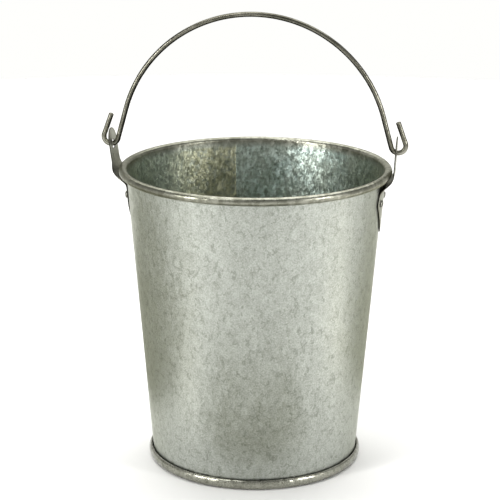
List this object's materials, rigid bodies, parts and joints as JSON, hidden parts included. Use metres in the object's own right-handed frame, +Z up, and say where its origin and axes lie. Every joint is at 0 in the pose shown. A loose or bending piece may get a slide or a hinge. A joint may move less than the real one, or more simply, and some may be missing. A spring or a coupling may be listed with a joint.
{
  "type": "florist bucket",
  "caption": "Small tapered round zinc-coated steel bucket with a wired rim, a rolled foot ring, riveted ears and a swinging wire bail.",
  "frame": {"origin": "centre of the foot ring, on the surface that the bucket stands on", "axes": "+Z up along the bucket's axis, X along the bail's hinge line with the right ear at +X, Y front to back with the lap seam on the +Y side"},
  "size_m": [0.1284, 0.114, 0.191],
  "materials": {
    "zinc_sheet": "hot-dip zinc, mottled, half dull",
    "zinc_base": "hot-dip zinc, darker and rubbed along the foot",
    "zinc_ear": "zinc-plated, satin",
    "rivet_steel": "plated, dull",
    "rim_wire": "plain drawn steel",
    "bail_wire": "drawn wire, dull, darkened"
  },
  "bodies": {
    "bucket": {"body_shell": "zinc_sheet", "rim_wire": "rim_wire", "base_pan": "zinc_base", "left_ear": "zinc_ear", "right_ear": "zinc_ear", "left_ear_rivet_front": "rivet_steel", "left_ear_rivet_back": "rivet_steel", "right_ear_rivet_front": "rivet_steel", "right_ear_rivet_back": "rivet_steel"},
    "bail": {"bail": "bail_wire"}
  },
  "joints": [
    {"name": "bail_swing", "type": "hinge", "parent": "bucket", "child": "bail", "pos_m": [0, 0, 0.1342], "axis": [1, 0, 0], "range_deg": [-95.5, 95.5]}
  ]
}
